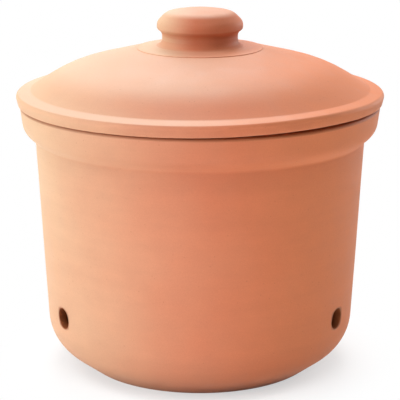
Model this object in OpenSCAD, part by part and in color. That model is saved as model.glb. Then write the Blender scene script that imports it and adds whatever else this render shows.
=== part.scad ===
// Potato keeper of unglazed clay: a round pot with vents low in its wall, and a domed lid that
// lifts off by its knob. The origin is the middle of the base, on the table, and the front is -Y.

/* [Pot] */
// Height of the rim above the table
pot_h = 204.2; // [190:0.1:230]
// Diameter over the rim
rim_d = 274.8; // [260:0.2:300]
// Diameter of the base
base_d = 175.6; // [150:0.2:190]
// Slope of the foot up from the table, in degrees
foot_slope = 36.5; // [28:0.5:44]
// Rounding between the foot and the wall
foot_round = 35; // [15:1:40]
// Lean of the wall outwards from upright, in degrees
wall_lean = 3.1; // [1:0.1:5]
// Thickness of the wall
wall_t = 6.5; // [5:0.5:9]
// Thickness of the floor
floor_t = 7; // [5:0.5:12]
// Rounding between the floor and the foot, inside
floor_round = 14; // [4:1:25]
// Depth of the hollow under the base
hollow_depth = 2; // [1:0.5:4]
// Width of the ring that stands on the table
stand_w = 12; // [8:1:25]
// Rounding of the base's edge
base_round = 1.2; // [0.4:0.2:3]

/* [Collar] */
// Height of the collar, from the wall up to the rim
collar_h = 26.7; // [22:0.1:36]
// How far the rim stands out from the wall under the collar
collar_out = 11.5; // [9:0.1:16]
// Width of the rim's top
rim_t = 9; // [7:0.5:12]
// Slope of the collar's underside, in degrees
collar_slope = 41; // [35:1:55]
// Flare of the collar's face from upright, in degrees
collar_flare = 7.5; // [4:0.5:12]
// Rounding of the collar's lower edge
collar_round = 13; // [4:1:20]
// Fillet where the collar meets the wall
collar_fillet = 4; // [1:0.5:10]
// Fillets of the shelf that the collar makes inside
shelf_round = 6; // [2:0.5:10]
// Rounding of the rim's two edges
rim_round = 2.5; // [0.5:0.1:3]

/* [Vents] */
// Diameter of a vent
vent_d = 16; // [8:0.5:20]
// Number of vents, evenly spaced
vent_count = 3; // [1:1:6]
// Height of the vents' middles above the table
vent_z = 49; // [45:0.5:70]
// Turn from the front to the first vent, in degrees
vent_turn = 60; // [0:1:90]

/* [Lid] */
// How far the flange stands out from the rim
lid_overhang = 3; // [1:0.1:6]
// Height of the flange's edge
flange_t = 8.2; // [5:0.1:12]
// Lean of the flange's edge outwards from upright, in degrees
flange_lean = 13; // [0:1:22]
// Slope of the flange's top, in degrees
flange_slope = 12; // [6:0.5:18]
// Rounding of the flange's lower edge
flange_round_low = 0.9; // [0.3:0.1:2]
// Rounding of the flange's upper edge
flange_round_up = 2.9; // [0.5:0.1:4]
// Width of the flange's top, out from the crease where the dome rises
flange_w = 11.3; // [10:0.1:20]
// Fillet in the crease
crease_fillet = 6; // [1:0.5:14]
// Height of the knob's seat above the rim
lid_h = 41; // [34:0.1:44]
// Slope of the dome where it leaves the crease, in degrees
dome_slope = 32; // [28:0.1:45]
// Slope of the dome where it reaches the knob, in degrees
crown_slope = 14; // [8:0.1:18]
// Rounding between the two slopes of the dome
dome_round = 103; // [30:1:120]
// Thickness of the lid
lid_t = 7; // [5:0.5:10]
// Depth of the locating ring below the rim
ring_h = 12; // [6:0.5:15]
// Thickness of the locating ring
ring_t = 6; // [4:0.5:8]
// Gap round the locating ring, inside the rim
ring_gap = 1.6; // [0.6:0.1:3]
// Rounding of the locating ring's edges
ring_round = 1.5; // [0.5:0.1:2.5]

/* [Knob] */
// Diameter of the knob's head
knob_d = 65.6; // [58:0.2:72]
// Height of the knob above its seat
knob_h = 29.9; // [26:0.1:36]
// Fall of the head's top from its middle to its bevel
knob_crown = 2.5; // [1:0.1:4]
// Diameter of the flat middle of the head's top
knob_flat_d = 21.6; // [10:0.2:30]
// Rounding between the flat middle and the rest of the top
knob_crown_round = 100; // [20:5:110]
// Width of the bevel round the head's top
knob_bevel = 7.1; // [3:0.1:8]
// Rounding of the bevel's two edges
knob_round = 12; // [3:0.5:14]
// Slope of the head's underside, in degrees
knob_under_slope = 38; // [20:1:50]
// Rounding of the head's lower edge
knob_lip_round = 2.5; // [0.5:0.1:3.5]
// How far the head stands out from the neck
knob_out = 3.9; // [3:0.1:7]
// Height of the neck's top above the seat
neck_h = 12; // [10:0.1:14]
// Fillets of the neck
neck_fillet = 5; // [1:0.5:6]
// Diameter of the knob's foot
knob_foot_d = 96; // [88:0.2:110]
// Height of the foot's edge
knob_foot_t = 0.5; // [0.5:0.1:3]
// Slope of the foot's top, in degrees
knob_foot_slope = 6; // [3:0.5:12]
// Rounding of the foot's upper edge
knob_foot_round = 0.3; // [0.2:0.1:1]

/* [Hidden] */
$fn = 128;

// Colour of the fired clay
clay = [0.86, 0.53, 0.39];
// Turn of one step along a rounding, in degrees
round_step = 7.5;
// Share of a corner's shorter leg that its rounding may take
round_share = 0.5;
// Angle of the front, measured from +X
front_turn = -90;
// Angles of the two directions in an outline that run up and in towards the axis
upward = 90;
inward = 180;

// Point at distance d from p, along angle a
function along(p, a, d) = p + d * [cos(a), sin(a)];

// Point at distance d from p, to the left of angle a
function beside(p, a, d) = along(p, a + upward, d);

// Where the line through p at angle a meets the line through q at angle b
function meet(p, a, q, b) = along(p, a, cross(q - p, [cos(b), sin(b)]) / sin(b - a));

// Points of the rounding of radius r at corner b, on the way from a to c
function rounded(a, b, c, r) =
    let (
        to_a = (a - b) / norm(a - b),
        to_c = (c - b) / norm(c - b),
        half = acos(to_a * to_c) / 2,
        reach = min(r / tan(half), round_share * min(norm(a - b), norm(c - b))),
        middle = b + (to_a + to_c) / norm(to_a + to_c) * reach / cos(half),
        from = b + to_a * reach - middle,
        start = atan2(from.y, from.x),
        turn = -sign(cross(to_a, to_c)) * (180 - 2 * half),
        steps = max(3, ceil(abs(turn) / round_step))
    )
    [for (i = [0 : steps]) along(middle, start + turn * i / steps, norm(from))];

// Outline through corners that are given as [point, rounding], with 0 for a sharp corner
function outline(corners) =
    let (n = len(corners))
    [
        for (i = [0 : n - 1])
            let (
                before = corners[(i + n - 1) % n][0],
                here = corners[i][0],
                after = corners[(i + 1) % n][0],
                r = corners[i][1]
            )
            each (r > 0 ? rounded(before, here, after, r) : [here])
    ];

// Outside of the pot, as points of radius and height
wall_turn = upward - wall_lean;
stand_in = [base_d / 2 - stand_w, 0];
hollow_edge = stand_in + [-hollow_depth, hollow_depth];
stand_out = [base_d / 2, 0];
wall_top = [rim_d / 2 - collar_out, pot_h - collar_h];
foot_corner = meet(stand_out, foot_slope, wall_top, wall_turn);
rim_out = [rim_d / 2, pot_h];
collar_corner = meet(wall_top, collar_slope, rim_out, upward - collar_flare);

// Inside of the pot
bore_r = rim_d / 2 - rim_t;
rim_in = [bore_r, pot_h];
shelf_line = beside(wall_top, collar_slope, wall_t);
in_wall_line = beside(wall_top, wall_turn, wall_t);
in_foot_line = beside(stand_out, foot_slope, wall_t);
shelf_top = meet(rim_in, upward, shelf_line, collar_slope);
shelf_foot = meet(shelf_line, collar_slope, in_wall_line, wall_turn);
in_foot_corner = meet(in_foot_line, foot_slope, in_wall_line, wall_turn);
floor_middle = [0, hollow_depth + floor_t];
floor_edge = meet(floor_middle, 0, in_foot_line, foot_slope);

pot_outline = outline([
    [[0, hollow_depth], 0],
    [hollow_edge, base_round],
    [stand_in, base_round],
    [stand_out, base_round],
    [foot_corner, foot_round],
    [wall_top, collar_fillet],
    [collar_corner, collar_round],
    [rim_out, rim_round],
    [rim_in, rim_round],
    [shelf_top, shelf_round],
    [shelf_foot, shelf_round],
    [in_foot_corner, max(foot_round - wall_t, base_round)],
    [floor_edge, floor_round],
    [floor_middle, 0]
]);

// Outside of the lid, which sits on the rim
seat_middle = [0, pot_h + lid_h];
seat_edge = [knob_foot_d / 2, seat_middle.y];
flange_up = rim_out + [lid_overhang, flange_t];
flange_low = flange_up - flange_t * [tan(flange_lean), 1];
flange_turn = inward - flange_slope;
dome_turn = inward - dome_slope;
crown_turn = inward - crown_slope;
crease = along(flange_up, flange_turn, flange_w / cos(flange_slope));
dome_corner = meet(crease, dome_turn, seat_edge, crown_turn);

// Underside of the lid
ring_r = bore_r - ring_gap;
ring_out = [ring_r, pot_h - ring_h];
ring_in = [ring_r - ring_t, pot_h - ring_h];
in_dome_line = beside(crease, dome_turn, lid_t);
in_crown_line = beside(seat_edge, crown_turn, lid_t);
in_crown_middle = seat_middle - [0, lid_t];
in_crown_edge = meet(in_crown_middle, 0, in_crown_line, crown_turn);
in_dome_corner = meet(in_dome_line, dome_turn, in_crown_line, crown_turn);
ring_root = meet(ring_in, upward, in_dome_line, dome_turn);

lid_outline = outline([
    [in_crown_middle, 0],
    [in_crown_edge, dome_round - lid_t],
    [in_dome_corner, dome_round - lid_t],
    [ring_root, crease_fillet],
    [ring_in, ring_round],
    [ring_out, ring_round],
    [[ring_r, pot_h], 0],
    [flange_low, flange_round_low],
    [flange_up, flange_round_up],
    [crease, crease_fillet],
    [dome_corner, dome_round],
    [seat_edge, 0],
    [seat_middle, 0]
]);

// Knob, which stands on the lid's seat
knob_top = seat_middle + [0, knob_h];
knob_flat = knob_top + [knob_flat_d / 2, 0];
bevel_up = knob_top + [knob_d / 2 - knob_bevel, -knob_crown];
bevel_low = bevel_up + [knob_bevel, -knob_bevel];
neck_top = seat_middle + [knob_d / 2 - knob_out, neck_h];
knob_lip = meet(neck_top, knob_under_slope, bevel_low, upward);
foot_up = seat_edge + [0, knob_foot_t];
neck_root = meet(foot_up, inward - knob_foot_slope, neck_top, upward);

knob_outline = outline([
    [seat_middle, 0],
    [seat_edge, 0],
    [foot_up, knob_foot_round],
    [neck_root, neck_fillet],
    [neck_top, neck_fillet],
    [knob_lip, knob_lip_round],
    [bevel_low, knob_round],
    [bevel_up, knob_round],
    [knob_flat, knob_crown_round],
    [knob_top, 0]
]);

// Vents through the wall, from the middle of the pot outwards
module vents() {
    for (i = [0 : vent_count - 1])
        rotate([0, 0, front_turn + vent_turn + i * 360 / vent_count])
            translate([0, 0, vent_z])
                rotate([0, 90, 0])
                    cylinder(d = vent_d, h = rim_d / 2);
}

// Pot with its collar, rim and vents
module pot() {
    color(clay)
        difference() {
            rotate_extrude() polygon(pot_outline);
            vents();
        }
}

// Lid with its flange on the rim and its locating ring inside the rim
module lid() {
    color(clay)
        rotate_extrude() polygon(lid_outline);
}

// Knob with its head, neck and foot, formed by itself and stuck to the lid with slip
module knob() {
    color(clay)
        rotate_extrude() polygon(knob_outline);
}

pot();
lid();
knob();
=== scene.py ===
# %% [markdown]
# # A clay potato keeper
#
# The object is a kitchen pot of unglazed fired clay in three pieces: a pot with a thick collar and
# three vents low in its wall, a domed lid that rests on the rim, and a knob that is stuck to the lid. A
# potter makes all three on a wheel, so the lesson first sets up a way to draw an outline and to turn
# it. Then it mixes the clay, turns the pieces one by one, and puts them on a white floor in soft light.
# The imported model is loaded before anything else: it fixes where every piece is and how it moves.

# %% Load the fixed frame
import math

import bmesh
import bpy
from mathutils import Matrix, Vector, noise


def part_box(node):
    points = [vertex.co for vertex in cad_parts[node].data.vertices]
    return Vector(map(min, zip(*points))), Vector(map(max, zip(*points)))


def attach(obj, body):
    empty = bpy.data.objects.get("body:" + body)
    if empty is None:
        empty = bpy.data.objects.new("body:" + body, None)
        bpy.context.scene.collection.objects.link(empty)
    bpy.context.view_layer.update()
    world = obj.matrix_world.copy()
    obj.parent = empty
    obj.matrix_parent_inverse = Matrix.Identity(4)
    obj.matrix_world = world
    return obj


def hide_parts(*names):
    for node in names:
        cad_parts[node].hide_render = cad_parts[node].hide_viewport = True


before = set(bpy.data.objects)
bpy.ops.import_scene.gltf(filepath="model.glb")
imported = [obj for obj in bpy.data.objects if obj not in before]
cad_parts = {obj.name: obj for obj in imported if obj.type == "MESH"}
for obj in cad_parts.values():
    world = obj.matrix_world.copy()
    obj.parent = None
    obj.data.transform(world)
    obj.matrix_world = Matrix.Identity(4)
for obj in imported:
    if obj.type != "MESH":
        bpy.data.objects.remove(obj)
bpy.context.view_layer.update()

mm = 0.001

# %% [markdown]
# ## The camera
#
# The photograph looks a little down on the pot from the front. How the round rim narrows to an ellipse
# gives the angle, and how much less it narrows at the base gives the distance. A long lens from 1.3 m
# away has both.

# %% Place the camera
camera_distance = 1.3
camera_elevation = math.radians(14.4)
camera_aim = Vector((0, 0, 0.1259))
camera_lens_mm = 150.8
camera_sensor_mm = 36

camera_data = bpy.data.cameras.new("camera")
camera_data.lens = camera_lens_mm
camera_data.sensor_width = camera_sensor_mm
camera = bpy.data.objects.new("camera", camera_data)
bpy.context.scene.collection.objects.link(camera)
camera_back = Vector((0, -math.cos(camera_elevation), math.sin(camera_elevation)))
camera.location = camera_aim + camera_distance * camera_back
camera.rotation_euler = (-camera_back).to_track_quat("-Z", "Y").to_euler()
bpy.context.scene.camera = camera
print("camera at", [round(c, 3) for c in camera.location])

# %% [markdown]
# ## Drawing an outline
#
# A turned piece is one outline swept round an axis. The outline could be a curve object, but a chain of
# edges in a bmesh shows better what happens: a vertex is extruded for each straight run and spun round
# a centre for each rounding. The helpers here find the corners, as points of radius and height, where
# two slopes meet.

# %% Find corners
# Directions in an outline, in degrees
UP = 90
IN = 180


def along(point, angle, distance):
    """Point at a distance from another, along an angle in degrees."""
    return point + distance * Vector((math.cos(math.radians(angle)), math.sin(math.radians(angle))))


def beside(point, angle, distance):
    """Point at a distance to the left of a line at that angle."""
    return along(point, angle + UP, distance)


def meet(p, a, q, b):
    """Where the line through p at angle a meets the line through q at angle b."""
    return along(p, a, (q - p).cross(along(Vector((0, 0)), b, 1)) / math.sin(math.radians(b - a)))


print("a slope of 45 degrees meets an upright at", meet(Vector((0, 0)), 45, Vector((1, 0)), UP))

# %% Draw straight runs and roundings
run_step = 7 * mm
round_step = math.radians(5)
round_steps_least = 3
round_share = 0.5
same_place = 0.002 * mm


def draw_run(bm, pen, point):
    """Extrudes the pen's vertex straight to a point, in equal strides."""
    way = Vector((point.x, 0, point.y)) - pen.co
    strides = math.ceil((way.length - same_place) / run_step)
    for _ in range(strides):
        ahead = bmesh.ops.extrude_vert_indiv(bm, verts=[pen])["verts"]
        bmesh.ops.translate(bm, verts=ahead, vec=way / strides)
        pen = ahead[0]
    return pen


def draw_rounding(bm, pen, before, corner, after, radius):
    """Runs to the start of a corner's rounding and spins the pen's vertex round its centre."""
    to_before = (before - corner).normalized()
    to_after = (after - corner).normalized()
    half = to_before.angle(to_after) / 2
    shorter = min((before - corner).length, (after - corner).length)
    reach = min(radius / math.tan(half), round_share * shorter)
    centre = corner + (to_before + to_after).normalized() * reach / math.cos(half)
    turn = math.pi - 2 * half
    pen = draw_run(bm, pen, corner + to_before * reach)
    made = bmesh.ops.spin(
        bm,
        geom=[pen],
        cent=(centre.x, 0, centre.y),
        axis=(0, math.copysign(1, to_before.cross(to_after)), 0),
        angle=turn,
        steps=max(round_steps_least, math.ceil(turn / round_step)),
    )
    return next(part for part in made["geom_last"] if isinstance(part, bmesh.types.BMVert))


def draw_outline(bm, corners):
    """Draws a chain of edges through corners that are given as (point, rounding)."""
    first = corners[0][0]
    pen = bm.verts.new((first.x, 0, first.y))
    for i in range(1, len(corners)):
        point, radius = corners[i]
        if radius > 0:
            pen = draw_rounding(bm, pen, corners[i - 1][0], point, corners[i + 1][0], radius)
        else:
            pen = draw_run(bm, pen, point)


print("a right angle is rounded in", math.ceil(math.radians(UP) / round_step), "steps")

# %% [markdown]
# ## Turning the outline
#
# One full spin would do, but each of its steps visits the whole mesh, so many fine steps are slow. Here
# a spin makes one wedge, and a second spin with use_duplicate sets copies of the wedge round the axis.
# The doubles at the seams and on the axis are merged, and only then are the normals turned outwards.
# The number of steps puts a line of vertices through the middle of each vent.

# %% Turn an outline into a surface
turn_steps = 300
wedges = 12
wedge_turn = math.tau / wedges
axis_up = {"cent": (0, 0, 0), "axis": (0, 0, 1)}


def turned(corners):
    """Surface that the outline through these corners sweeps round the upright axis."""
    bm = bmesh.new()
    draw_outline(bm, corners)
    bmesh.ops.spin(
        bm, geom=bm.verts[:] + bm.edges[:], angle=wedge_turn, steps=turn_steps // wedges, **axis_up
    )
    bmesh.ops.spin(
        bm,
        geom=bm.verts[:] + bm.edges[:] + bm.faces[:],
        angle=math.tau - wedge_turn,
        steps=wedges - 1,
        use_duplicate=True,
        **axis_up,
    )
    bmesh.ops.remove_doubles(bm, verts=bm.verts, dist=same_place)
    bmesh.ops.recalc_face_normals(bm, faces=bm.faces)
    return bm


print("one wedge turns", round(math.degrees(wedge_turn)), "degrees in", turn_steps // wedges, "steps")

# %% [markdown]
# ## What the hand and the kiln leave
#
# No turned pot is a perfect figure of rotation. Its radius wanders by about a quarter of a millimetre,
# and the light shows it as faint patches. A noise from mathutils moves the vertices towards the axis
# and never away from it, so the outside never grows past its solid, and flat seats stay flat. The
# second helper stores in an attribute how sharply the surface bends: rubbed edges are then a little
# paler than the rest, and creases get a little painted shade.

# %% Wobble and bend
wobble = 0.28 * mm
wobble_wave = 55 * mm


def hand_made(bm):
    """Moves every vertex a little towards the axis, by a smooth noise."""
    for vert in bm.verts:
        share = 0.5 + 0.5 * noise.noise(vert.co / wobble_wave)
        radius = vert.co.xy.length
        if radius > wobble:
            vert.co.xy *= 1 - wobble * share / radius


def mark_bend(bm):
    """Stores each vertex's bend, in 1/m: positive on an outer edge, negative in a crease."""
    bend = bm.verts.layers.float.new("bend")
    bm.normal_update()
    for vert in bm.verts:
        for edge in vert.link_edges:
            way = edge.other_vert(vert).co - vert.co
            vert[bend] -= way.dot(vert.normal) / way.length_squared


print("the radius wanders by up to", round(wobble / mm, 2), "mm")

# %% [markdown]
# A finished mesh becomes an object that stays at the origin, with its place in its vertices. It rides
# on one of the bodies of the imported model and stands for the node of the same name, so it moves as that
# node does.

# %% Finish a piece


def finish_piece(bm, name, body, material):
    """Makes the mesh an object that rides on a body and stands for the node of the same name."""
    hand_made(bm)
    bmesh.ops.recalc_face_normals(bm, faces=bm.faces)
    mark_bend(bm)
    for face in bm.faces:
        face.smooth = True
    mesh = bpy.data.meshes.new(name + "_clay")
    bm.to_mesh(mesh)
    bm.free()
    piece = bpy.data.objects.new(name + "_clay", mesh)
    piece.data.materials.append(material)
    bpy.context.scene.collection.objects.link(piece)
    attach(piece, body)
    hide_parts(name)
    lo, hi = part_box(name)
    print(name, "with", len(mesh.polygons), "faces")
    print("size in mm:", [round(c / mm, 1) for c in piece.dimensions])
    print("its node's:", [round(c / mm, 1) for c in hi - lo])


# %% [markdown]
# ## The clay
#
# Terracotta is matt and even from a step away. Close up it has soft cloudy patches from the kiln,
# streaks round the pot from the wet sponge, fine sand grains and a few dark iron specks. An image could
# show them, but a texture on the object's own coordinates needs no seam and stays on the piece when it
# moves.

# %% Helpers for nodes
noise_roughness = 0.55


def add_node(tree, kind, inputs=None, **settings):
    """Adds a node, with settings and with inputs that are values or other nodes' outputs."""
    node = tree.nodes.new("ShaderNode" + kind)
    for key, value in settings.items():
        setattr(node, key, value)
    for key, value in (inputs or {}).items():
        if isinstance(value, bpy.types.NodeSocket):
            tree.links.new(value, node.inputs[key])
        else:
            node.inputs[key].default_value = value
    return node


def noise_on(tree, where, per_metre, detail):
    """Noise with so many waves to a metre, as a number about 0.5."""
    inputs = {"Vector": where, "Scale": per_metre, "Detail": detail, "Roughness": noise_roughness}
    return add_node(tree, "TexNoise", inputs).outputs["Fac"]


def spread(tree, value, low, high, to_low, to_high, smooth=False):
    """The value mapped from one range to another, and kept within it."""
    inputs = {"Value": value, "From Min": low, "From Max": high, "To Min": to_low, "To Max": to_high}
    kind = "SMOOTHSTEP" if smooth else "LINEAR"
    return add_node(tree, "MapRange", inputs, interpolation_type=kind).outputs["Result"]


def sum_of(tree, *values):
    """The sum of several numbers."""
    total = values[0]
    for value in values[1:]:
        total = add_node(tree, "Math", {0: total, 1: value}, operation="ADD").outputs[0]
    return total


def product_of(tree, first, second):
    """One number times another."""
    return add_node(tree, "Math", {0: first, 1: second}, operation="MULTIPLY").outputs[0]


def mix_colours(tree, share, first, second):
    """The first colour, with a share of the second."""
    inputs = {"Factor": share, 6: first, 7: second}
    return add_node(tree, "Mix", inputs, data_type="RGBA").outputs[2]


print("each finer wave of a noise has", noise_roughness, "of the strength of the last")

# %% [markdown]
# The textures come first. Each wave count is per metre, so 7 gives clouds of 14 cm and 1300 gives
# grains of sand. The streaks are such a noise pressed flat, and the specks are the middles of a few
# Voronoi cells.

# %% Patterns in the clay
cloud_waves = 7
streak_waves = 9
streak_flatness = 9
mottle_waves = 70
grain_waves = 1300
speck_cells = 240
speck_edge = (0.06, 0.14)
speck_chance = (0.6, 0.7)
speck_share = 0.3


def clay_patterns(tree, place):
    """The number sockets that the colour, the gloss and the bump share."""
    pressed = {"Vector": place, "Scale": (1, 1, streak_flatness)}
    flat = add_node(tree, "Mapping", pressed).outputs["Vector"]
    cells = add_node(tree, "TexVoronoi", {"Vector": place, "Scale": speck_cells})
    dot = spread(tree, cells.outputs["Distance"], *speck_edge, 1, 0)
    few = spread(tree, cells.outputs["Color"], *speck_chance, 0, speck_share)
    return {
        "clouds": noise_on(tree, place, cloud_waves, detail=3),
        "streaks": noise_on(tree, flat, streak_waves, detail=4),
        "mottling": noise_on(tree, place, mottle_waves, detail=3),
        "grain": noise_on(tree, place, grain_waves, detail=2),
        "specks": product_of(tree, dot, few),
    }


print("a grain of sand is about", round(1 / grain_waves / mm, 1), "mm across")

# %% [markdown]
# The colour starts with broad marks, and several of them are painted light. The clay is red in the
# middle. On the left, where the light comes from, it is painted paler as painted light. On the shaded
# right it is painted a more saturated orange as painted shade, and clouds break up the borders. The
# faces of the lid and the knob that look upwards get a pale painted highlight, and the foot is painted
# darker towards the floor as painted shade. Most marks are a pair of values between which the mark
# grows: places across the pot, heights, or how far a face looks up. The two values of the highlight
# are its shares low and high on the knob. The knob gets more painted shade: a deeper red, a narrower
# painted lit side and darker creases. Colours are linear red, green and blue, with a last 1 for opaque.

# %% Broad marks
red_clay = (0.579, 0.173, 0.086, 1)
# Painted light: the paler colour of the left side, where the light comes from.
lit_side_pale = (0.613, 0.437, 0.275, 1)
# Painted shade: the more saturated orange of the shaded right side.
shaded_side_orange = (0.655, 0.212, 0.087, 1)
# Painted highlight: the pale colour of faces that look upwards.
top_highlight_pale = (0.71, 0.48, 0.345, 1)
# Painted shade: the darker brown at the foot, near the floor.
foot_shade_brown = (0.3, 0.1, 0.04, 1)
lit_side_most = 0.8
cloud_noise = (0.3, 0.7)
cloud_share = 0.12
# Places across the pot over which the painted shade of the right side grows.
shaded_side_reach = (-30 * mm, 107 * mm)
# Heights over which the knob's painted highlight grows from its low share to its high one.
top_highlight_rise = (250 * mm, 262 * mm)
# Heights over which the foot's painted shade grows towards the floor.
foot_shade_heights = (30 * mm, 0)
foot_shade_most = 0.45

# Each piece's marks: a factor on its red, below 1 as painted shade; where the painted light of the left
# side grows; the shares and face tilts of the painted highlight on upward faces; and the share of painted
# shade in creases.
pot_marks = {
    "red": 1,
    "lit_side": (48 * mm, -140 * mm),
    "top_highlight": (0, 0),
    "top_highlight_faces": (0.82, 0.94),
    "crease": 0.1,
}
lid_marks = {**pot_marks, "top_highlight": (0.6, 0.6)}
# The knob's marks give it more painted shade: a darker red, a narrower painted lit side, stronger painted
# shade in its creases and less painted highlight low down, under its head.
knob_marks = {
    "red": 0.88,
    "lit_side": (2 * mm, -34 * mm),
    "top_highlight": (0.3, 0.6),
    "top_highlight_faces": (0.7, 0.98),
    "crease": 0.8,
}
print("the knob's red is", knob_marks["red"], "of the pot's")

# %% Mix the broad marks


def broad_colour_with_painted_light(tree, place, patterns, marks):
    """Colour socket with painted light on the pale left, painted shade on the orange right, a painted
    highlight on upward faces and painted shade at the foot.
    """
    spot = add_node(tree, "SeparateXYZ", {"Vector": place}).outputs
    # Painted light: the left side grows paler.
    pale = spread(tree, spot["X"], *marks["lit_side"], 0, lit_side_most, smooth=True)
    cloud = spread(tree, patterns["clouds"], *cloud_noise, -cloud_share, cloud_share)
    # The red, darkened by a piece's factor as painted shade.
    red = [marks["red"] * part for part in red_clay]
    colour = mix_colours(tree, sum_of(tree, pale, cloud), red, lit_side_pale)
    normal = add_node(tree, "NewGeometry").outputs["Normal"]
    upward = add_node(tree, "SeparateXYZ", {"Vector": normal}).outputs["Z"]
    # Painted highlight on faces that look upwards, weaker low on the knob, where its head shades it.
    top_highlight_most = spread(tree, spot["Z"], *top_highlight_rise, *marks["top_highlight"])
    top_highlight = spread(tree, upward, *marks["top_highlight_faces"], 0, top_highlight_most, smooth=True)
    colour = mix_colours(tree, top_highlight, colour, top_highlight_pale)
    # Painted shade: the right side turns a more saturated orange.
    orange = spread(tree, spot["X"], *shaded_side_reach, 0, 1, smooth=True)
    colour = mix_colours(tree, orange, colour, shaded_side_orange)
    # Painted shade: the foot grows darker towards the floor.
    foot_shade = spread(tree, spot["Z"], *foot_shade_heights, 0, foot_shade_most, smooth=True)
    return mix_colours(tree, foot_shade, colour, foot_shade_brown)


# Tilt up to which the lid gets its painted highlight.
top_highlight_tilt = math.degrees(math.acos(lid_marks["top_highlight_faces"][0]))
print("dust lies on the lid where it is tilted by less than", round(top_highlight_tilt), "degrees")

# %% [markdown]
# Fine marks go on top. The streaks, the mottling and the grain each give about a third of the
# brightness, so together they only make the colour a little lighter or darker. Then the specks are set
# in, painted shade darkens the places that a second attribute names, and the bend of the surface gives
# painted shade in creases and paler rubbed edges.

# %% Mix the fine marks
iron_brown = (0.3, 0.1, 0.045, 1)
# Painted shade in the vents' bores and on the rim's shoulder.
painted_shade_brown = (0.21, 0.04, 0.001, 1)
# Painted shade in creases.
crease_shade_brown = (0.5, 0.14, 0.05, 1)
rubbed_pale = (0.68, 0.31, 0.18, 1)
most_noise = (0.25, 0.75)
streak_light = (0.3, 0.37)
mottle_light = (0.31, 0.36)
grain_light = (0.29, 0.37)
crease_bend = (-60, -400)
rubbed_bend = (150, 900)
rubbed_share = 0.3


def fine_colour_with_painted_shade(tree, colour, patterns, marks):
    """The colour with streaks and grain, specks, painted shade in marked places and in creases, and
    rubbed edges.
    """
    light = sum_of(
        tree,
        spread(tree, patterns["streaks"], *most_noise, *streak_light),
        spread(tree, patterns["mottling"], *most_noise, *mottle_light),
        spread(tree, patterns["grain"], *most_noise, *grain_light),
    )
    colour = add_node(tree, "VectorMath", {0: colour, "Scale": light}, operation="SCALE").outputs[0]
    colour = mix_colours(tree, patterns["specks"], colour, iron_brown)
    # Painted shade where the attribute marks it: the bores and the rim's shoulder.
    painted_shade = add_node(tree, "Attribute", attribute_name="painted_shade").outputs["Fac"]
    colour = mix_colours(tree, painted_shade, colour, painted_shade_brown)
    bend = add_node(tree, "Attribute", attribute_name="bend").outputs["Fac"]
    # Painted shade in creases, by how sharply the surface bends inwards.
    crease = spread(tree, bend, *crease_bend, 0, marks["crease"])
    colour = mix_colours(tree, crease, colour, crease_shade_brown)
    rubbed = spread(tree, bend, *rubbed_bend, 0, rubbed_share)
    return mix_colours(tree, rubbed, colour, rubbed_pale)


darkest, lightest = [sum(ends) for ends in zip(streak_light, mottle_light, grain_light)]
print("the fine marks go from", round(darkest, 2), "to", round(lightest, 2), "times the colour")

# %% [markdown]
# Fired clay still scatters a little white light at a low angle, so the shader keeps some broad gloss.
# The height of the grain and of the sponge's streaks goes through two Bump nodes, both of about a tenth
# of a millimetre or less. A shift of the patterns gives each piece its own patches.

# %% Fire the clay
clay_gloss = 0.2
clay_roughness = (0.54, 0.68)
clay_diffuse_roughness = 0.6
grain_height = 0.05 * mm
grain_strength = 0.6
streak_height = 0.12 * mm
streak_strength = 0.5


def bumped(tree, height, distance, strength, **below):
    """Normal socket of a Bump node, on top of another bump where one is given."""
    inputs = {"Height": height, "Distance": distance, "Strength": strength, **below}
    return add_node(tree, "Bump", inputs).outputs["Normal"]


def fired_clay(name, marks, shift):
    """Procedural terracotta with a piece's own marks, and its patterns moved by a shift in metres."""
    material = bpy.data.materials.new(name)
    material.use_nodes = True
    tree = material.node_tree
    shader = tree.nodes["Principled BSDF"].inputs
    own = add_node(tree, "TexCoord").outputs["Object"]
    moved = add_node(tree, "Mapping", {"Vector": own, "Location": shift}).outputs["Vector"]
    patterns = clay_patterns(tree, moved)
    colour = fine_colour_with_painted_shade(tree, broad_colour_with_painted_light(tree, own, patterns, marks), patterns, marks)
    roughness = spread(tree, patterns["mottling"], *most_noise, *clay_roughness)
    streaked = bumped(tree, patterns["streaks"], streak_height, streak_strength)
    grained = bumped(tree, patterns["grain"], grain_height, grain_strength, Normal=streaked)
    tree.links.new(colour, shader["Base Color"])
    tree.links.new(roughness, shader["Roughness"])
    tree.links.new(grained, shader["Normal"])
    shader["Specular IOR Level"].default_value = clay_gloss
    shader["Diffuse Roughness"].default_value = clay_diffuse_roughness
    print(name, "with", len(tree.nodes), "nodes")
    return material


pot_finish = fired_clay("clay_of_the_pot", pot_marks, shift=(0, 0, 0))
lid_finish = fired_clay("clay_of_the_lid", lid_marks, shift=(0.31, 0.17, 0.4))
knob_finish = fired_clay("clay_of_the_knob", knob_marks, shift=(0.57, 0.83, 0.2))

# %% [markdown]
# ## The pot
#
# The pot has a narrow standing ring, a foot that slopes out, a nearly upright wall and a collar that
# steps out to carry the rim. It could be a solid with its inside cut away, but one outline gives both
# walls at once: outside first, from the table up, then back down the inside at the thickness of the
# wall. Among its sizes, slopes, leans, flares and the angles of the vents are in degrees.

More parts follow.
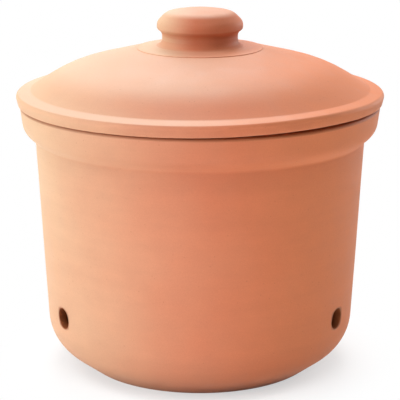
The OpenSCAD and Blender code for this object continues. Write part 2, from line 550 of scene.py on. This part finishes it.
# %% Sizes of the pot
pot_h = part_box("pot")[1].z
rim_r = 137.4 * mm
base_r = 87.8 * mm
foot_slope = 36.5
foot_round = 35 * mm
wall_lean = 3.1
wall_t = 6.5 * mm
floor_t = 7 * mm
floor_round = 14 * mm
hollow_depth = 2 * mm
stand_w = 12 * mm
base_round = 1.2 * mm
collar_h = 26.7 * mm
collar_out = 11.5 * mm
rim_t = 9 * mm
collar_slope = 41
collar_flare = 7.5
collar_round = 13 * mm
collar_fillet = 4 * mm
shelf_round = 6 * mm
rim_round = 2.5 * mm
vent_r = 8 * mm
vent_z = 49 * mm
vent_angles = [-30, 90, 210]
print("height of the rim in mm:", round(pot_h / mm, 1))

# %% Corners of the pot
wall_turn = UP - wall_lean
stand_in = Vector((base_r - stand_w, 0))
stand_out = Vector((base_r, 0))
hollow_edge = stand_in + Vector((-hollow_depth, hollow_depth))
wall_top = Vector((rim_r - collar_out, pot_h - collar_h))
foot_corner = meet(stand_out, foot_slope, wall_top, wall_turn)
rim_out = Vector((rim_r, pot_h))
collar_corner = meet(wall_top, collar_slope, rim_out, UP - collar_flare)

bore_r = rim_r - rim_t
rim_in = Vector((bore_r, pot_h))
shelf_line = beside(wall_top, collar_slope, wall_t)
in_wall_line = beside(wall_top, wall_turn, wall_t)
in_foot_line = beside(stand_out, foot_slope, wall_t)
shelf_top = meet(rim_in, UP, shelf_line, collar_slope)
shelf_foot = meet(shelf_line, collar_slope, in_wall_line, wall_turn)
in_foot_corner = meet(in_foot_line, foot_slope, in_wall_line, wall_turn)
floor_middle = Vector((0, hollow_depth + floor_t))
floor_edge = meet(floor_middle, 0, in_foot_line, foot_slope)

vent_band = 11.6 * mm
vent_low = Vector((0, vent_z - vent_band))
vent_high = Vector((0, vent_z + vent_band))
print("corner of the foot in mm:", [round(c / mm, 1) for c in foot_corner])

# %% Turn the pot
pot_bm = turned([
    (Vector((0, hollow_depth)), 0),
    (hollow_edge, base_round),
    (stand_in, base_round),
    (stand_out, base_round),
    (foot_corner, foot_round),
    (meet(vent_high, 0, wall_top, wall_turn), 0),
    (wall_top, collar_fillet),
    (collar_corner, collar_round),
    (rim_out, rim_round),
    (rim_in, rim_round),
    (shelf_top, shelf_round),
    (shelf_foot, shelf_round),
    (meet(vent_high, 0, in_wall_line, wall_turn), 0),
    (in_foot_corner, foot_round - wall_t),
    (floor_edge, floor_round),
    (floor_middle, 0),
])
print("pot turned with", len(pot_bm.faces), "faces")

# %% [markdown]
# ## The vents
#
# A potter punches the vents through the leather-hard wall and wipes their edges soft. A boolean cut
# would do it in one step, but it leaves long thin faces that shade badly on a curved wall. So a square
# window is opened in both walls, a circle is bridged into each window, the two circles are bridged
# through the wall, and both edges are bevelled. The bore gets dark brown painted shade.

# %% Cut finer rows at the height of the vents
level = 0.5 * mm


def in_band(edge):
    """True for an upright edge of either wall between the heights of the vents."""
    low, high = sorted(vert.co.z for vert in edge.verts)
    return low > vent_low.y - level and high < vent_high.y + level and high - low > level


bmesh.ops.subdivide_edges(pot_bm, edges=[e for e in pot_bm.edges if in_band(e)], cuts=1)
print("pot with rows for the vents:", len(pot_bm.faces), "faces")

# %% Find the window of a vent
vent_columns = 10
vent_half_turn = (vent_columns + 0.5) / 2 * math.tau / turn_steps


def window_faces(bm, inside, out):
    """Faces of the wall at a radius, inside the square window of the vent that looks that way out."""
    window = []
    for face in bm.faces:
        middle = face.calc_center_median()
        flat = Vector((middle.x, middle.y, 0))
        if abs(middle.z - vent_z) < vent_band and abs(flat.length - inside) < wall_t / 2:
            if flat.normalized().dot(out) > math.cos(vent_half_turn):
                window.append(face)
    return window


print("a window spans", round(2 * math.degrees(vent_half_turn), 1), "degrees")

# %% Open the vents
spoke_cuts = 2
vent_soft = 0.5 * mm
vent_soft_steps = 4


def on_wall(co, line):
    """The place moved in or out to the wall that follows a line of the outline."""
    radius = meet(Vector((0, co.z)), 0, line, wall_turn).x
    share = radius / co.xy.length
    return Vector((co.x * share, co.y * share, co.z))


def vent_ring(bm, line, turn):
    """Opens a window in one wall and bridges a round edge into it."""
    inside = meet(Vector((0, vent_z)), 0, line, wall_turn).x
    window = window_faces(bm, inside, turn @ Vector((1, 0, 0)))
    sides = [e for face in window for e in face.edges if sum(f in window for f in e.link_faces) == 1]
    bmesh.ops.delete(bm, geom=window, context="FACES")
    circle = bmesh.ops.create_circle(
        bm,
        segments=len(sides),
        radius=vent_r,
        matrix=turn @ Matrix.Translation((inside, 0, vent_z)) @ Matrix.Rotation(math.radians(UP), 4, "Y"),
    )["verts"]
    for vert in circle:
        vert.co = on_wall(vert.co, line)
    ring = list({e for vert in circle for e in vert.link_edges})
    spokes = bmesh.ops.bridge_loops(bm, edges=sides + ring)["edges"]
    cut = bmesh.ops.subdivide_edges(bm, edges=spokes, cuts=spoke_cuts)
    for part in cut["geom_inner"]:
        if isinstance(part, bmesh.types.BMVert):
            part.co = on_wall(part.co, line)
    return ring


def open_vent(bm, angle):
    """Opens one vent through both walls, with soft edges and dark painted shade in the bore."""
    turn = Matrix.Rotation(math.radians(angle), 4, "Z")
    rings = vent_ring(bm, wall_top, turn) + vent_ring(bm, in_wall_line, turn)
    # The faces of the bore get full painted shade.
    for face in bmesh.ops.bridge_loops(bm, edges=rings)["faces"]:
        for vert in face.verts:
            vert[painted_shade] = 1
    bmesh.ops.bevel(
        bm,
        geom=rings,
        offset=vent_soft,
        segments=vent_soft_steps,
        profile=0.5,
        affect="EDGES",
        material=-1,
    )


# Attribute for the painted shade in the bores and on the rim's shoulder.
painted_shade = pot_bm.verts.layers.float.new("painted_shade")
for vent_angle in vent_angles:
    open_vent(pot_bm, vent_angle)
print("pot with", len(vent_angles), "vents:", len(pot_bm.faces), "faces")

# %% [markdown]
# The seam under the lid's flange looks darker than its own shadow makes it. So the rim's outer shoulder
# gets painted shade too: most at the top of its rounding, less and less down the rounding, and fading
# away over the flat top towards the inside.

# %% Paint shade on the rim's shoulder
shoulder_shade_depth = 2.5 * mm
shoulder_shade_most = 0.72
rim_middle_r = rim_r - rim_t / 2

# Painted shade on the rim's outer shoulder, under the lid's flange.
shaded_shoulder = [v for v in pot_bm.verts if v.co.z > pot_h - shoulder_shade_depth and v.co.xy.length > rim_middle_r]
for vert in shaded_shoulder:
    vert[painted_shade] = shoulder_shade_most * math.sqrt(1 - (pot_h - vert.co.z) / shoulder_shade_depth)
print("smoke on", len(shaded_shoulder), "vertices of the rim")

# %% Finish the pot
finish_piece(pot_bm, "pot", "pot", pot_finish)

# %% [markdown]
# ## The lid
#
# The lid has a broad flange, a dome, and a ring underneath that keeps it in the rim. A slice of a
# sphere would give a dome, but this one runs nearly straight at its foot and near the knob, so it is
# two slopes with a wide rounding between them. The outline starts under the crown and ends on the flat
# seat of the knob.

# %% Sizes of the lid
lid_overhang = 3 * mm
flange_t = 8.2 * mm
flange_lean = 13
flange_slope = 12
flange_w = 11.3 * mm
flange_round_low = 0.9 * mm
flange_round_up = 2.9 * mm
seam = 0.1 * mm
crease_fillet = 6 * mm
dome_slope = 32
crown_slope = 14
dome_round = 103 * mm
lid_t = 7 * mm
ring_t = 6 * mm
ring_gap = 1.6 * mm
ring_round = 1.5 * mm
knob_foot_r = 48 * mm
ring_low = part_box("lid")[0].z
seat_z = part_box("lid")[1].z
corner_soft = 0.3 * mm
print("knob's seat above the rim in mm:", round((seat_z - pot_h) / mm, 1))

# %% Corners of the lid
seat_middle = Vector((0, seat_z))
seat_edge = Vector((knob_foot_r, seat_z))
flange_up = rim_out + Vector((lid_overhang, flange_t))
flange_low = flange_up - (flange_t - seam) * Vector((math.tan(math.radians(flange_lean)), 1))
crease = along(flange_up, IN - flange_slope, flange_w / math.cos(math.radians(flange_slope)))
dome_corner = meet(crease, IN - dome_slope, seat_edge, IN - crown_slope)

ring_r = bore_r - ring_gap
ring_out = Vector((ring_r, ring_low))
ring_in = Vector((ring_r - ring_t, ring_low))
in_dome_line = beside(crease, IN - dome_slope, lid_t)
in_crown_line = beside(seat_edge, IN - crown_slope, lid_t)
in_crown_middle = seat_middle - Vector((0, lid_t))
in_crown_edge = meet(in_crown_middle, 0, in_crown_line, IN - crown_slope)
in_dome_corner = meet(in_dome_line, IN - dome_slope, in_crown_line, IN - crown_slope)
ring_root = meet(ring_in, UP, in_dome_line, IN - dome_slope)
print("corner of the dome in mm:", [round(c / mm, 1) for c in dome_corner])

# %% Turn the lid
lid_bm = turned([
    (in_crown_middle, 0),
    (in_crown_edge, dome_round - lid_t),
    (in_dome_corner, dome_round - lid_t),
    (ring_root, crease_fillet),
    (ring_in, ring_round),
    (ring_out, ring_round),
    (Vector((ring_r, pot_h)), corner_soft),
    (flange_low, flange_round_low),
    (flange_up, flange_round_up),
    (crease, crease_fillet),
    (dome_corner, dome_round),
    (seat_edge, corner_soft),
    (seat_middle, 0),
])
print("lid turned with", len(lid_bm.faces), "faces")

# %% [markdown]
# A lid of this width warps in the kiln. This one lies on the rim at the back left and lifts by nearly
# two millimetres at the front right, so the seam under its flange is a dark gap there and a thin line
# elsewhere. Each vertex is raised by how far out it is and by how directly it faces that side: a broad
# lean, and a narrower lift on top of it.

# %% Warp the lid
warp_lean = 0.3 * mm
warp_lift = 1.6 * mm
warp_bearing = -48
warp_start = 85 * mm
warp_width = 6

warp_side = Matrix.Rotation(math.radians(warp_bearing), 2) @ Vector((1, 0))
for vert in lid_bm.verts:
    outward = min(1, (vert.co.xy.length - warp_start) / (rim_r - warp_start))
    if outward > 0:
        facing = vert.co.xy.normalized().dot(warp_side)
        lift = warp_lean * (1 + facing) / 2 + warp_lift * max(0, facing) ** warp_width
        vert.co.z += lift * outward ** 2
print("the lid's edge lifts by up to", round((warp_lean + warp_lift) / mm, 1), "mm")

# %% Finish the lid
finish_piece(lid_bm, "lid", "lid", lid_finish)

# %% [markdown]
# ## The knob
#
# The knob is a round head on a short neck, over a thin foot that is stuck to the lid. It is turned by
# itself and not as part of the lid, because the potter does so too, and the fine line at the edge of
# the foot shows it.

# %% Sizes of the knob
knob_top_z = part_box("knob")[1].z
knob_r = 32.8 * mm
knob_crown = 2.5 * mm
knob_flat_r = 10.8 * mm
knob_crown_round = 100 * mm
knob_bevel = 7.1 * mm
knob_round = 12 * mm
knob_under_slope = 38
knob_lip_round = 2.5 * mm
knob_out = 3.9 * mm
neck_h = 12 * mm
neck_fillet = 5 * mm
knob_foot_t = 0.5 * mm
knob_foot_slope = 6
knob_foot_round = 0.3 * mm
knob_edge_soft = 0.1 * mm
print("knob's height in mm:", round((knob_top_z - seat_z) / mm, 1))

# %% Corners of the knob
knob_top = Vector((0, knob_top_z))
knob_flat = knob_top + Vector((knob_flat_r, 0))
bevel_up = knob_top + Vector((knob_r - knob_bevel, -knob_crown))
bevel_low = bevel_up + Vector((knob_bevel, -knob_bevel))
neck_top = seat_middle + Vector((knob_r - knob_out, neck_h))
knob_lip = meet(neck_top, knob_under_slope, bevel_low, UP)
foot_up = seat_edge + Vector((0, knob_foot_t))
neck_root = meet(foot_up, IN - knob_foot_slope, neck_top, UP)
print("lip of the knob in mm:", [round(c / mm, 1) for c in knob_lip])

# %% Turn and finish the knob
knob_bm = turned([
    (seat_middle, 0),
    (seat_edge, knob_edge_soft),
    (foot_up, knob_foot_round),
    (neck_root, neck_fillet),
    (neck_top, neck_fillet),
    (knob_lip, knob_lip_round),
    (bevel_low, knob_round),
    (bevel_up, knob_round),
    (knob_flat, knob_crown_round),
    (knob_top, 0),
])
finish_piece(knob_bm, "knob", "lid", knob_finish)

# %% [markdown]
# ## The floor
#
# The pot stands on a plain white sheet. To the camera the sheet is partly a white glow of strength 1,
# so that it is as white as the background and still shows the soft shadow under the foot. Light Path
# tells the camera's rays from those that carry light to the pot. From below, the sheet is see-through.

# %% Lay the floor
floor_half = 6.0
floor_bm = bmesh.new()
bmesh.ops.create_grid(floor_bm, x_segments=1, y_segments=1, size=floor_half)
floor_mesh = bpy.data.meshes.new("floor")
floor_bm.to_mesh(floor_mesh)
floor_bm.free()
floor = bpy.data.objects.new("floor", floor_mesh)
bpy.context.scene.collection.objects.link(floor)
print("floor of", 2 * floor_half, "m")

# %% Paint the floor
white = (1, 1, 1, 1)
floor_grey = (0.8, 0.8, 0.8, 1)
shadow_reach = (80 * mm, 160 * mm)
near_glow = 0.55


def seen_rays(tree):
    """1 for rays that look at something: the camera's, and those in gloss and glass."""
    path = add_node(tree, "LightPath").outputs
    seen = sum_of(tree, path["Is Camera Ray"], path["Is Glossy Ray"], path["Is Transmission Ray"])
    return add_node(tree, "Math", {0: seen, 1: 1}, operation="MINIMUM").outputs[0]


floor_paint = bpy.data.materials.new("floor_paint")
floor_paint.use_nodes = True
floor_tree = floor_paint.node_tree
floor_tree.nodes.remove(floor_tree.nodes["Principled BSDF"])
matt = add_node(floor_tree, "BsdfDiffuse", {"Color": floor_grey}).outputs["BSDF"]
glow = add_node(floor_tree, "Emission", {"Color": white}).outputs["Emission"]
clear = add_node(floor_tree, "BsdfTransparent").outputs["BSDF"]
own = add_node(floor_tree, "TexCoord").outputs["Object"]
away = add_node(floor_tree, "VectorMath", {0: own}, operation="LENGTH").outputs["Value"]
white_share = spread(floor_tree, away, *shadow_reach, near_glow, 1, smooth=True)
glow_share = product_of(floor_tree, seen_rays(floor_tree), white_share)
sheet = add_node(floor_tree, "MixShader", {"Fac": glow_share, 1: matt, 2: glow}).outputs["Shader"]
from_below = add_node(floor_tree, "NewGeometry").outputs["Backfacing"]
shown = add_node(floor_tree, "MixShader", {"Fac": from_below, 1: sheet, 2: clear}).outputs["Shader"]
floor_tree.links.new(shown, floor_tree.nodes["Material Output"].inputs["Surface"])
floor_mesh.materials.append(floor_paint)
print("floor paint with", len(floor_tree.nodes), "nodes")

# %% [markdown]
# ## The light
#
# The photograph's light is soft and comes mostly from the left, from behind and from above. Point lamps
# would give hard shadows, so every lamp here is a square softbox. Two stand far to the left, one of
# them further to the front, and a third hangs high on that side. One hangs high behind, one stands
# behind at the right, and one hangs high in front to open up the shadows. A small one over the floor in
# front shines straight down in a narrow cone, so that it lights mostly the floor, which throws the
# light back up at the pot.

# %% Hang the softboxes


def softbox(name, place, size, watts, aim=camera_aim, cone=180):
    """Square area lamp at a place, turned to what it lights."""
    lamp = bpy.data.lights.new(name, "AREA")
    lamp.shape = "SQUARE"
    lamp.size = size
    lamp.energy = watts
    lamp.spread = math.radians(cone)
    box = bpy.data.objects.new(name, lamp)
    box.location = place
    box.rotation_euler = (aim - Vector(place)).to_track_quat("-Z", "Y").to_euler()
    bpy.context.scene.collection.objects.link(box)
    print(name, "of", watts, "W")


over_floor = Vector((0, -0.42, 0.6))
below_it = over_floor - Vector((0, 0, 1))
softbox("softbox_left", place=(-2.2, -0.4, 0.7), size=1.4, watts=11)
softbox("softbox_left_front", place=(-1.9, -0.9, 0.7), size=1.2, watts=28.5)
softbox("softbox_back", place=(0, 1.0, 1.4), size=1.0, watts=25)
softbox("softbox_high_left", place=(-1.2, 0.1, 1.5), size=1.0, watts=15.2)
softbox("softbox_floor", place=over_floor, size=0.3, watts=1.05, aim=below_it, cone=50)
softbox("softbox_front", place=(0, -1.0, 1.5), size=1.0, watts=12)
softbox("softbox_right", place=(1.3, 0.9, 0.6), size=0.9, watts=15)

# %% [markdown]
# The background is white only to the rays that look at it, straight or in a gloss. To all others the
# room is a very dark grey, so nearly all the light on the clay comes from the softboxes.

# %% Make the background white
room_grey = (0.02, 0.02, 0.02, 1)
world = bpy.data.worlds.new("studio")
bpy.context.scene.world = world
world.use_nodes = True
world_tree = world.node_tree
room = world_tree.nodes["Background"]
room.inputs["Color"].default_value = room_grey
backdrop = add_node(world_tree, "Background", {"Color": white}).outputs["Background"]
seen = seen_rays(world_tree)
sky = add_node(world_tree, "MixShader", {"Fac": seen, 1: room.outputs["Background"], 2: backdrop})
world_tree.links.new(sky.outputs["Shader"], world_tree.nodes["World Output"].inputs["Surface"])
bpy.context.scene.view_settings.view_transform = "Standard"
print("view transform:", bpy.context.scene.view_settings.view_transform)
